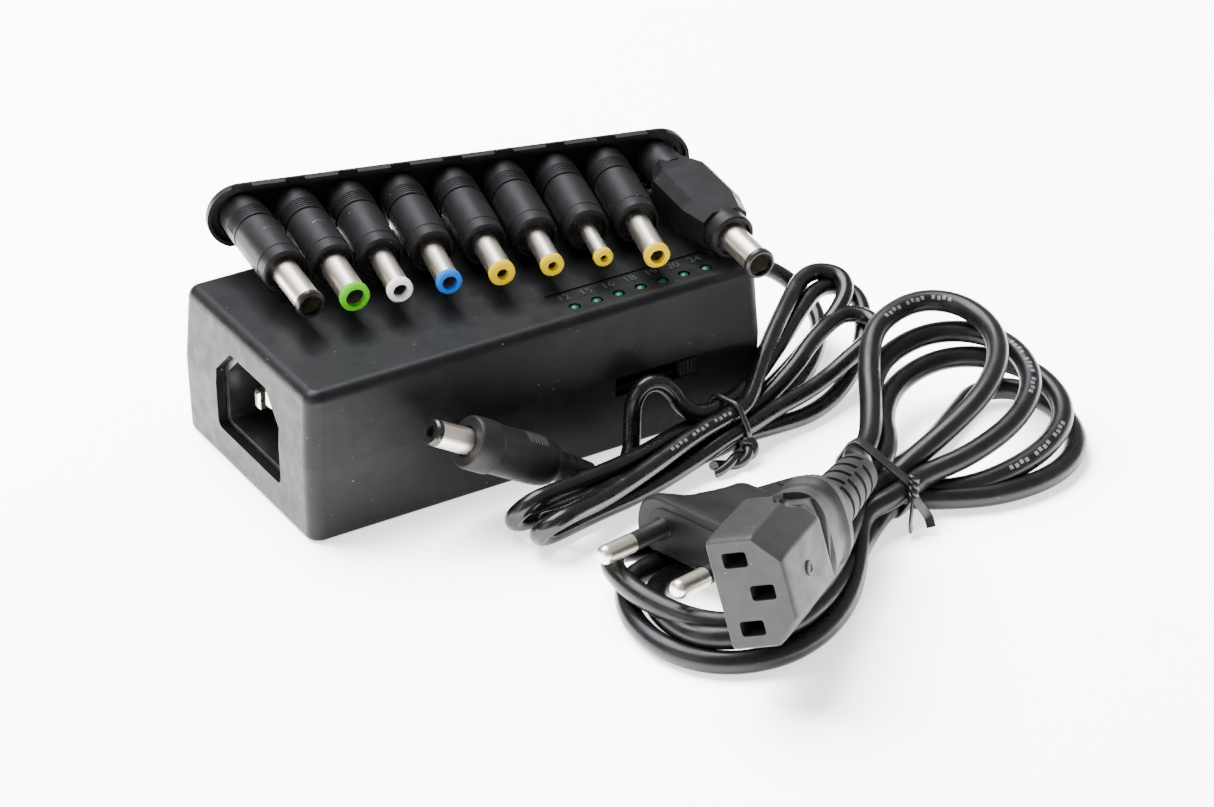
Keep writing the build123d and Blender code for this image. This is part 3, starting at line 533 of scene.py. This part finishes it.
# ---- ties --------------------------------------------------------------------------------------
DC_TIE_REACH, DC_TIE_WIRE = 2.45, 0.62
DC_TWIST_WIRE, DC_TWIST_GAP = 1.05, 0.80
MAINS_TIE_REACH, MAINS_TIE_LOW = 2.7, 0.3
MAINS_KNOT_WIRE, MAINS_KNOT_GAP = 0.62, 0.60


def convex_outline(points):
    """Corners of the tightest outline round flat points, in order."""
    def half(ordered):
        """One side of the outline, without its last corner."""
        chain = []
        for u, v in ordered:
            while len(chain) > 1 and ((chain[-1][0] - chain[-2][0]) * (v - chain[-2][1])
                                      <= (chain[-1][1] - chain[-2][1]) * (u - chain[-2][0])):
                chain.pop()
            chain.append((u, v))
        return chain[:-1]

    ordered = sorted(points)
    return half(ordered) + half(ordered[::-1])


def snug_loop(tie, strands, radius, low):
    """Closed path in mm round a tied bundle, upright across its direction.

    It passes radius away from the middle of each outer strand and never below low.
    """
    (x, y), (ax, ay) = tie
    turns = [2 * math.pi * k / 28 for k in range(28)]
    outline = convex_outline([(across + radius * math.cos(turn), max(height + radius * math.sin(turn), low))
                              for across, height in strands.values() for turn in turns])
    path = []
    for (u0, v0), (u1, v1) in zip(outline, outline[1:] + outline[:1]):
        steps = max(1, int(math.hypot(u1 - u0, v1 - v0) / 0.9))
        for k in range(steps):
            u, v = u0 + (u1 - u0) * k / steps, v0 + (v1 - v0) * k / steps
            path.append((x - ay * u, y + ax * u, v))
    return path


def twisted_pair(name, path, wire, gap, turns, slot, body):
    """Two wires of radius wire wound round a path in mm, each gap away from it."""
    line = smooth_line(path, 16)
    mesh = bpy.data.meshes.new(name)
    bm = bmesh.new()
    for strand in (0, 1):
        wound = []
        for i, here in enumerate(line):
            along = (line[min(i + 1, len(line) - 1)] - line[max(i - 1, 0)]).normalized()
            side = along.cross(Vector((0, 0, 1))).normalized()
            up = side.cross(along)
            angle = math.pi * strand + 2 * math.pi * turns * i / (len(line) - 1)
            wound.append(here + side * gap * math.cos(angle) + up * gap * math.sin(angle))
        part = swept(name, wound, circle(wire, 12))
        bm.from_mesh(part)
        bpy.data.meshes.remove(part)
    bm.to_mesh(mesh)
    bm.free()
    return put(name, mesh, slot, body)


def make_ties():
    """Wire round the output cord, ribbon round the mains cord, and their twisted ends."""
    loop = snug_loop(DC_TIE, DC_STRANDS, DC_TIE_REACH, DC_TIE_WIRE)
    ring = swept("dc_tie_wire", loop, circle(DC_TIE_WIRE, 12), closed=True)
    put("dc_tie_wire", ring, "tie_plastic", "adapter", ("dc_cord_tie",))
    twist = [(39.2, -45.0, 4.2), (39.6, -46.6, 3.2), (38.2, -47.6, 2.2), (34.5, -47.8, 1.75),
             (29.6, -48.2, 1.7)]
    twisted_pair("dc_tie_twist", twist, DC_TWIST_WIRE, DC_TWIST_GAP, 1.7, "tie_plastic", "adapter")
    ribbon = box_outline(2.3, 0.55, 0.2, 3)
    (x, y), (ax, ay) = MAINS_TIE
    loop = snug_loop(MAINS_TIE, MAINS_STRANDS, MAINS_TIE_REACH, MAINS_TIE_LOW)
    band = swept("mains_tie_ribbon", loop, ribbon, (ax, ay, 0.0), True)
    put("mains_tie_ribbon", band, "tie_plastic", "mains_lead", ("mains_cord_tie",))
    knot = Vector((x + ay * 9.4, y - ax * 9.4, 9.2))
    bends = [knot + Vector(b) for b in ((0.0, 0.0, 2.4), (-0.3, -0.7, 0.4), (-0.7, -1.1, -1.8))]
    twisted_pair("mains_tie_knot", bends, MAINS_KNOT_WIRE, MAINS_KNOT_GAP, 1.8, "tie_plastic", "mains_lead")
    for name, bends in (("mains_tie_tail_a", [(-0.7, -1.1, -1.6), (-1.6, -2.1, -3.2), (-2.4, -2.9, -5.0),
                                              (-2.7, -3.3, -6.8), (-2.5, -3.4, -8.0)]),
                        ("mains_tie_tail_b", [(-0.5, -1.0, -1.6), (0.4, -1.9, -3.4), (1.3, -2.6, -5.0),
                                              (1.8, -3.4, -6.4), (1.6, -4.6, -7.8)])):
        line = smooth_line([knot + Vector(b) for b in bends], 8)
        put(name, swept(name, line, box_outline(1.9, 0.5, 0.18, 2)), "tie_plastic", "mains_lead")


# ---- line socket and mains plug ----------------------------------------------------------------
SOCKET_FACE, SOCKET_OUT, SOCKET_DOWN = (-8.8, -120.3, 24.5), (-0.80, -0.58, 0.12), (0.13, -0.30, -0.93)
SOCKET_W, SOCKET_T, SOCKET_CUT = 23.0, 15.0, 5.2
SOCKET_SLOTS = [(2.0, 0.0), (-2.0, -7.0), (-2.0, 7.0)]
SLOT_W, SLOT_T, SLOT_DEPTH = 5.0, 3.1, 15.4
SOCKET_RELIEF_END, SOCKET_RELIEF_PITCH = -57.2, 4.4
PLUG_PINS, PLUG_OUT, PLUG_SPACING = (-15.2, -89.5, 13.9), (-0.95, -0.30, 0.12), (0.30, -0.95, 0.0)
PLUG_RELIEF_END, PLUG_RELIEF_PITCH = -51.6, 2.9
PIN_SPACING = 18.6
# An oval ring starts where a socket ring does, so that the skin between them doesn't twist.
OVAL_COUNT, OVAL_START = 48, math.radians(-122)


def socket_ring(z, scale, radius):
    """Ring of the socket's outline, a rectangle with two corners cut off."""
    t, w, cut = SOCKET_T / 2 * scale, SOCKET_W / 2 * scale, SOCKET_CUT * scale
    corners = [(-t, -w), (t - cut, -w), (t, -w + cut), (t, w - cut), (t - cut, w), (-t, w)]
    return at(rounded(corners, radius, 7), z)


def oval_ring(z, across, along, power):
    """Ring of the same count as socket_ring, an oval that a high power makes squarer."""
    ring = []
    for k in range(OVAL_COUNT):
        angle = 2 * math.pi * (k + 0.5) / OVAL_COUNT + OVAL_START
        c, s = math.cos(angle), math.sin(angle)
        ring.append((across * math.copysign(abs(c) ** (2 / power), c),
                     along * math.copysign(abs(s) ** (2 / power), s), z))
    return ring


def make_socket():
    """Line socket with its contact slots, grip pockets and slotted strain relief."""
    out = Vector(SOCKET_OUT).normalized()
    place = frame_from(SOCKET_FACE, out, out.cross(Vector(SOCKET_DOWN)))
    rings = [socket_ring(0.0, 0.93, 0.9), socket_ring(-0.35, 0.965, 1.1), socket_ring(-1.2, 0.99, 1.3),
             socket_ring(-3.0, 1.0, 1.4), socket_ring(-19.6, 1.0, 1.5), socket_ring(-20.8, 0.985, 1.7),
             socket_ring(-21.6, 0.93, 2.0), socket_ring(-22.2, 0.90, 2.2)]
    for z, across, along, power in ((-25.5, 6.8, 10.0, 3.0), (-29.5, 6.5, 9.5, 2.8), (-32.6, 6.2, 8.9, 2.6),
                                    (-33.4, 6.5, 9.2, 2.6), (-34.0, 7.1, 9.8, 2.5), (-36.2, 6.9, 9.4, 2.5),
                                    (-36.9, 6.2, 8.0, 2.4), (-37.4, 5.8, 6.8, 2.2)):
        rings.append(oval_ring(z, across, along, power))
    for z, r in ((-41.0, 5.6), (-46.0, 5.3), (-51.0, 5.0), (-56.0, 4.7), (-59.2, 4.5), (-59.8, 4.2),
                 (-60.0, 3.9)):
        rings.append(oval_ring(z, r, r, 2.0))
    shell = put("socket_shell", skin("socket_shell", rings, place), "connector_rubber", "mains_lead",
                ("socket_body",))
    cutters = []
    slot = box_outline(SLOT_W, SLOT_T, 0.7, 3)
    for x, y in SOCKET_SLOTS:
        cutters.append(skin("slot", [at(slot, z, x, y) for z in (-SLOT_DEPTH, 1.0)], place))
    for i in range(4):
        for side in (0, 1):
            z = SOCKET_RELIEF_END + SOCKET_RELIEF_PITCH * i + SOCKET_RELIEF_PITCH / 2 * side
            for way in (-1, 1):
                reach = at(box_outline(3.4, 8.6, 1.2, 4), 0.0, way * 5.1)
                cutter = [[(x, y, z + h) if side else (y, x, z + h) for x, y, _ in reach]
                          for h in (-0.65, 0.65)]
                cutters.append(skin("relief_slot", cutter, place))
    for way in (-1, 1):
        grip = []
        for z, width, depth in ((-16.6, 2.4, 0.9), (-18.6, 4.6, 2.2), (-22.4, 7.0, 3.4), (-25.6, 6.0, 2.4)):
            grip.append(at(box_outline(width, depth * 2, min(width, depth) * 0.45, 5), z, 2.2, way * 10.9))
        cutters.append(skin("grip", grip, place))
    carved(shell, cutters)
    shift = Matrix.Translation((SOCKET_T / 2 * MM, 0, -10.5 * MM))
    spot = place @ shift @ Matrix.Rotation(math.pi / 2, 4, "Y")
    button = turned("socket_mark", [(1.5, -0.3), (1.5, 0.25), (1.25, 0.4), (0.9, 0.4), (0.7, 0.22)], spot)
    put("socket_mark", button, "connector_rubber", "mains_lead")


def make_plug():
    """Flat mains plug with its waist, slotted strain relief, pin sleeves and front rim."""
    place = frame_from(PLUG_PINS, PLUG_OUT, PLUG_SPACING)
    rings = []
    for z, width, thick, radius, sink in (
            (-19.0, 31.2, 10.8, 5.2, 0.0), (-19.3, 32.0, 11.6, 5.6, 0.0), (-20.0, 32.5, 12.1, 5.8, 0.1),
            (-22.0, 32.2, 12.0, 5.8, 0.2), (-24.2, 29.4, 11.5, 5.5, 0.4), (-26.4, 27.2, 10.8, 5.2, 0.7),
            (-29.2, 25.4, 10.2, 4.9, 0.9), (-31.6, 24.6, 10.0, 4.8, 1.0), (-34.4, 22.6, 10.0, 4.8, 1.0),
            (-37.4, 20.6, 10.2, 4.9, 0.9), (-40.2, 19.6, 10.2, 4.9, 0.8), (-41.0, 18.8, 9.6, 4.6, 0.7),
            (-41.5, 17.0, 8.6, 4.1, 0.6), (-42.2, 12.4, 8.0, 3.9, 0.3), (-46.0, 10.6, 7.8, 3.8, 0.1),
            (-50.0, 9.0, 7.4, 3.6, 0.0), (-53.4, 7.8, 7.0, 3.4, 0.0), (-54.0, 7.0, 6.4, 3.1, 0.0)):
        rings.append(at(box_outline(width, thick, radius, 8), z, 0.0, -sink))
    shell = put("plug_shell", skin("plug_shell", rings, place), "plug_rubber", "mains_lead", ("plug_body",))
    cutters = []
    slot = box_outline(9.0, 1.6, 0.5, 2)
    for i in range(3):
        z = PLUG_RELIEF_END + PLUG_RELIEF_PITCH * i
        for way in (-1, 1):
            cutter = [at(slot, z + h, 0.0, way * 4.4) for h in (-0.5, 0.5)]
            cutters.append(skin("relief_slot", cutter, place))
    carved(shell, cutters)
    for side, name in ((-1, "plug_sleeve_far"), (1, "plug_sleeve_near")):
        shift = place @ Matrix.Translation((side * PIN_SPACING / 2 * MM, 0, 0))
        sleeve = turned(name, [(1.55, -19.6), (2.35, -19.6), (2.35, -18.6), (2.0, -18.1), (1.92, -10.0),
                               (1.80, -9.2), (1.60, -9.05)], shift, 24)
        put(name, sleeve, "plug_rubber", "mains_lead")
    rim = skin("plug_front_rim", [at(box_outline(25.6, 8.4, 4.0, 8), z) for z in (-19.3, -18.75)]
               + [at(box_outline(24.8, 7.6, 3.7, 8), -18.6)], place)
    put("plug_front_rim", rim, "plug_rubber", "mains_lead")


# ---- tips, output plug and numerals ------------------------------------------------------------
HOLDER_CENTRE, HOLDER_YAW, HOLDER_DIP, HOLDER_ROLL = (8.3, 23.3, 41.8), 13.6, 3.0, 0.8
TIP_PITCH, TIP_R = 11.44, 5.0
TIP_TURNS = (7.4, 4.5, 1.7, 0.4, 0.5, -0.2, -0.6, -1.2, 9.0)
# Degrees round each round tip, from straight up, of its mark and of its mould seam. Tip 9 has neither.
TIP_MARKS = ((-6, 78), (-2, 84), (150, 70), (-44, 80), (-60, 84), (165, 76), (-74, 82), (-80, 86))
DC_PLUG_BACK, DC_PLUG_TIP, DC_PLUG_R = (4.4, -39.4, 3.9), (-31.9, -38.2, 25.0), 5.2
DC_RELIEF_START, DC_RELIEF_PITCH = 3.0, 2.6
VOLTAGES = (12, 15, 16, 18, 19, 20, 24)
LED_X, LED_PITCH, TOP_Z = 11.0, 5.35, 34.0
NUMERAL_Y, NUMERAL_SIZE, NUMERAL_RELIEF = -18.7, 3.0, 0.09
LABEL_DEPTH, NUMERAL_LIFT = 0.3, 0.08


def tip_place(index):
    """Frame of one tip: z the way it points, y up."""
    turn = (Matrix.Rotation(math.radians(-HOLDER_YAW), 3, "Z")
            @ Matrix.Rotation(math.radians(HOLDER_ROLL), 3, "Y")
            @ Matrix.Rotation(math.radians(HOLDER_DIP), 3, "X"))
    along, out = turn.col[0], -turn.col[1]
    angle = math.radians(TIP_TURNS[index])
    origin = Vector(HOLDER_CENTRE) + along * (index - 4) * TIP_PITCH
    return frame_from(origin, out * math.cos(angle) + along * math.sin(angle),
                      along * math.cos(angle) - out * math.sin(angle))


def on_round(radius, degrees, z):
    """Point on a round body, the angle taken from straight up towards its -x side."""
    angle = math.radians(90 + degrees)
    return Vector((radius * math.cos(angle), radius * math.sin(angle), z))


def surface_strip(name, points, width, height, place):
    """Slim raised strip through points on a round body about z, its section a low dome."""
    dome = [(-0.5, -0.6), (-0.42, 0.35), (-0.2, 0.85), (0.0, 1.0), (0.2, 0.85), (0.42, 0.35), (0.5, -0.6)]
    rings = []
    for i, here in enumerate(points):
        along = (points[min(i + 1, len(points) - 1)] - points[max(i - 1, 0)]).normalized()
        out = Vector((here.x, here.y, 0)).normalized()
        side = along.cross(out).normalized()
        rings.append([tuple(here + side * u * width + out * v * height) for u, v in dome])
    return skin(name, rings, place)


def joined(name, meshes):
    """One mesh from several, in the same frame."""
    bm = bmesh.new()
    for data in meshes:
        bm.from_mesh(data)
        bpy.data.meshes.remove(data)
    mesh = bpy.data.meshes.new(name)
    bm.to_mesh(mesh)
    bm.free()
    return mesh


def rib_patch(name, radius, zs, centre, spread, width, height, place):
    """Fine raised grip lines across part of a round body."""
    ribs = []
    for z in zs:
        line = [on_round(radius, centre + spread * (k / 9 - 1), z) for k in range(19)]
        ribs.append(surface_strip("rib", line, width, height, place))
    return joined(name, ribs)


def make_tip_details():
    """Grip ribs, crescent mark and pair of mould seams on each round tip."""
    for index, (mark, seam) in enumerate(TIP_MARKS):
        place = tip_place(index)
        body = "tip_%d" % (index + 1)
        ribs = rib_patch(body + "_ribs", TIP_R - 0.03, [4.6 + 0.72 * k for k in range(5)], 22, 62,
                         0.32, 0.17, place)
        put(body + "_ribs", ribs, "tip_plastic", body)
        crescent = [on_round(TIP_R, mark + 17 * (k / 8 - 1), 14.9 - 0.75 * math.sin(math.pi * k / 16))
                    for k in range(17)]
        put(body + "_mark", surface_strip(body + "_mark", crescent, 0.42, 0.05, place), "ring_black", body)
        rails = []
        for shift in (-4.0, 4.0):
            line = [on_round(TIP_R, seam + shift, 9.3 + 0.8 * k) for k in range(15)]
            rails.append(surface_strip("seam", line, 0.16, 0.05, place))
        put(body + "_seam", joined(body + "_seam", rails), "tip_plastic", body)


def make_dc_plug():
    """Output plug with its front flange, slotted strain relief and grip ribs."""
    reach = Vector(DC_PLUG_TIP) - Vector(DC_PLUG_BACK)
    place = frame_from(DC_PLUG_BACK, reach, (0, 1, 0))
    profile = [(2.3, 0.0), (2.65, 0.25), (2.9, 3.0), (3.25, 9.0), (3.5, 10.0), (4.4, 11.0), (4.85, 12.2),
               (5.1, 13.6), (DC_PLUG_R, 15.0), (DC_PLUG_R, 26.3), (5.3, 26.6), (5.55, 26.9), (5.6, 27.4),
               (5.6, 31.8), (5.45, 32.3), (5.1, 32.6), (3.3, 32.7), (3.15, 32.5), (3.15, 31.7)]
    shell = put("dc_plug_shell", turned("dc_plug_shell", profile, place), "plug_rubber", "adapter",
                ("dc_plug_body",))
    slot = box_outline(9.0, 2.6, 0.3, 2)
    cutters = []
    for i in range(3):
        z = DC_RELIEF_START + DC_RELIEF_PITCH * i
        for way in (-1, 1):
            cutter = [at(slot, z + h, 0.0, way * 3.6) for h in (-0.4, 0.4)]
            cutters.append(skin("relief_slot", cutter, place))
    carved(shell, cutters)
    up = (place.to_3x3().inverted() @ Vector((0, 0, 1))).normalized()
    centre = math.degrees(math.atan2(up.y, up.x)) - 90
    ribs = rib_patch("dc_plug_ribs", DC_PLUG_R - 0.02, [15.2 + 0.75 * k for k in range(7)], centre + 8, 40,
                     0.36, 0.17, place)
    put("dc_plug_ribs", ribs, "plug_rubber", "adapter")


def make_numerals():
    """Output voltages moulded beside the lamps."""
    figures = []
    for index, volts in enumerate(VOLTAGES):
        text = bpy.data.curves.new("figure", "FONT")
        text.body = str(volts)
        text.size = NUMERAL_SIZE * MM
        text.extrude = NUMERAL_RELIEF * MM
        text.align_x, text.align_y = "CENTER", "CENTER"
        text.resolution_u = 3
        holder = bpy.data.objects.new("figure", text)
        figure = bpy.data.meshes.new_from_object(holder)
        spot = Vector((LED_X + LED_PITCH * index, NUMERAL_Y, TOP_Z - LABEL_DEPTH + NUMERAL_LIFT))
        figure.transform(Matrix.Translation(spot * MM))
        bpy.data.objects.remove(holder)
        figures.append(figure)
    put("output_numerals", joined("output_numerals", figures), "numeral_plastic", "adapter")


# ---- dashes printed on the cords ---------------------------------------------------------------
INK_LIFT, INK_FACING = 0.012, (-0.30, -0.62, 0.72)
RUN_DASHES, DASH_PITCH, DASH_STEP = 14, 1.35, 0.42
DC_RUNS, MAINS_RUNS = (70, 310, 550), (60, 380, 700)


def cord_marks(name, cord, diameter, starts, body):
    """Runs of plain dashes along a cord, from each start in mm, on the side that faces INK_FACING."""
    line = cord_length(cord.data)[1]
    lengths = [0.0]
    for a, b in zip(line, line[1:]):
        lengths.append(lengths[-1] + (b - a).length)

    def spot(distance):
        """Place and direction of the line at a distance along it."""
        k = next(i for i in range(1, len(line)) if lengths[i] >= distance or i == len(line) - 1)
        t = (distance - lengths[k - 1]) / (lengths[k] - lengths[k - 1])
        return line[k - 1].lerp(line[k], t), (line[k] - line[k - 1]).normalized()

    radius = diameter / 2 + INK_LIFT
    facing = Vector(INK_FACING)
    verts, faces = [], []
    for start in starts:
        for index in range(RUN_DASHES):
            if index % 5 == 4:
                continue
            for step in range(3):
                centre, along = spot((start + index * DASH_PITCH + DASH_STEP * step) * MM)
                out = (facing - along * along.dot(facing)).normalized()
                side = along.cross(out)
                for k in range(5):
                    angle = math.radians(-11 + 5.5 * k + (3 if index % 2 else -2))
                    verts.append(centre + (out * math.cos(angle) + side * math.sin(angle)) * radius * MM)
            first = len(verts) - 15
            corners = [first + 5 * r + c for r in range(2) for c in range(4)]
            faces += [(corner, corner + 1, corner + 6, corner + 5) for corner in corners]
    mesh = bpy.data.meshes.new(name)
    mesh.from_pydata(verts, [], faces)
    put(name, mesh, "print_ink", body)


# ---- studio ------------------------------------------------------------------------------------
CAMERA_PLACE = (-358.05, -633.63, 432.74)
CAMERA_RIGHT = (0.85168, -0.52406, 0.00246)
CAMERA_UP = (0.26503, 0.43476, 0.86066)
CAMERA_BACK = (-0.45211, -0.73236, 0.50917)
CAMERA_LENS_MM = 117.46
FLOOR_HALF, FLOOR_DROP = 3.0, 0.0002
WORLD_STRENGTH = 0.55


def make_camera():
    """Long lens looking down on the front left corner of the brick."""
    camera = bpy.data.objects.new("camera", bpy.data.cameras.new("camera"))
    bpy.context.scene.collection.objects.link(camera)
    turn = Matrix((CAMERA_RIGHT, CAMERA_UP, CAMERA_BACK)).transposed().to_4x4()
    camera.matrix_world = Matrix.Translation(Vector(CAMERA_PLACE) * MM) @ turn
    camera.data.lens = CAMERA_LENS_MM
    camera.data.sensor_width = 36.0
    camera.data.clip_start = 0.05
    camera.data.clip_end = 20.0
    bpy.context.scene.camera = camera


def area_light(name, place, target, size, power, colour):
    """Soft rectangular lamp aimed at a target; size is width and height in metres, power in watts."""
    light = bpy.data.lights.new(name, "AREA")
    light.shape = "RECTANGLE"
    light.size, light.size_y = size
    light.energy = power
    light.color = colour
    lamp = bpy.data.objects.new(name, light)
    bpy.context.scene.collection.objects.link(lamp)
    lamp.location = place
    lamp.rotation_mode = "QUATERNION"
    lamp.rotation_quaternion = (Vector(target) - Vector(place)).to_track_quat("-Z", "Y")
    return lamp


def light_only(lamp, receiver):
    """Keeps a lamp's light on one object; everything still casts its shadow there."""
    receivers = bpy.data.collections.new("lit_by_" + lamp.name)
    receivers.objects.link(receiver)
    lamp.light_linking.receiver_collection = receivers


def make_studio():
    """Pale floor, even surround, soft lamp overhead, faint lamp from the side and a wash on the floor."""
    mesh = bpy.data.meshes.new("floor")
    half = FLOOR_HALF
    corners = [(-half, -half, 0), (half, -half, 0), (half, half, 0), (-half, half, 0)]
    mesh.from_pydata(corners, [], [(0, 1, 2, 3)])
    floor = bpy.data.objects.new("floor", mesh)
    floor.location.z = -FLOOR_DROP
    bpy.context.scene.collection.objects.link(floor)
    mesh.materials.append(floor_paper("floor_paper", (0.93, 0.93, 0.925)))
    world = bpy.data.worlds.new("studio")
    world.use_nodes = True
    background = world.node_tree.nodes["Background"]
    background.inputs["Color"].default_value = (1.0, 1.0, 1.0, 1.0)
    background.inputs["Strength"].default_value = WORLD_STRENGTH
    bpy.context.scene.world = world
    middle = (0.02, -0.03, 0.0)
    area_light("overhead", (-0.10, 0.45, 1.05), middle, (1.1, 0.8), 48.0, (0.965, 0.985, 1.03))
    area_light("side", (-0.95, -0.15, 0.50), middle, (0.5, 0.6), 3.0, (1.0, 1.0, 1.0))
    wash = area_light("floor_wash", (-0.25, 0.75, 1.30), middle, (1.3, 1.3), 230.0, (1.0, 0.99, 0.97))
    light_only(wash, floor)


paint_frame()
make_camera()
dc_cord, mains_cord = make_cords()
make_ties()
make_socket()
make_plug()
make_tip_details()
make_dc_plug()
make_numerals()
cord_marks("dc_cord_print", dc_cord, DC_D, DC_RUNS, "adapter")
cord_marks("mains_cord_print", mains_cord, MAINS_D, MAINS_RUNS, "mains_lead")
declare_cords(dc_cord, mains_cord)
make_studio()
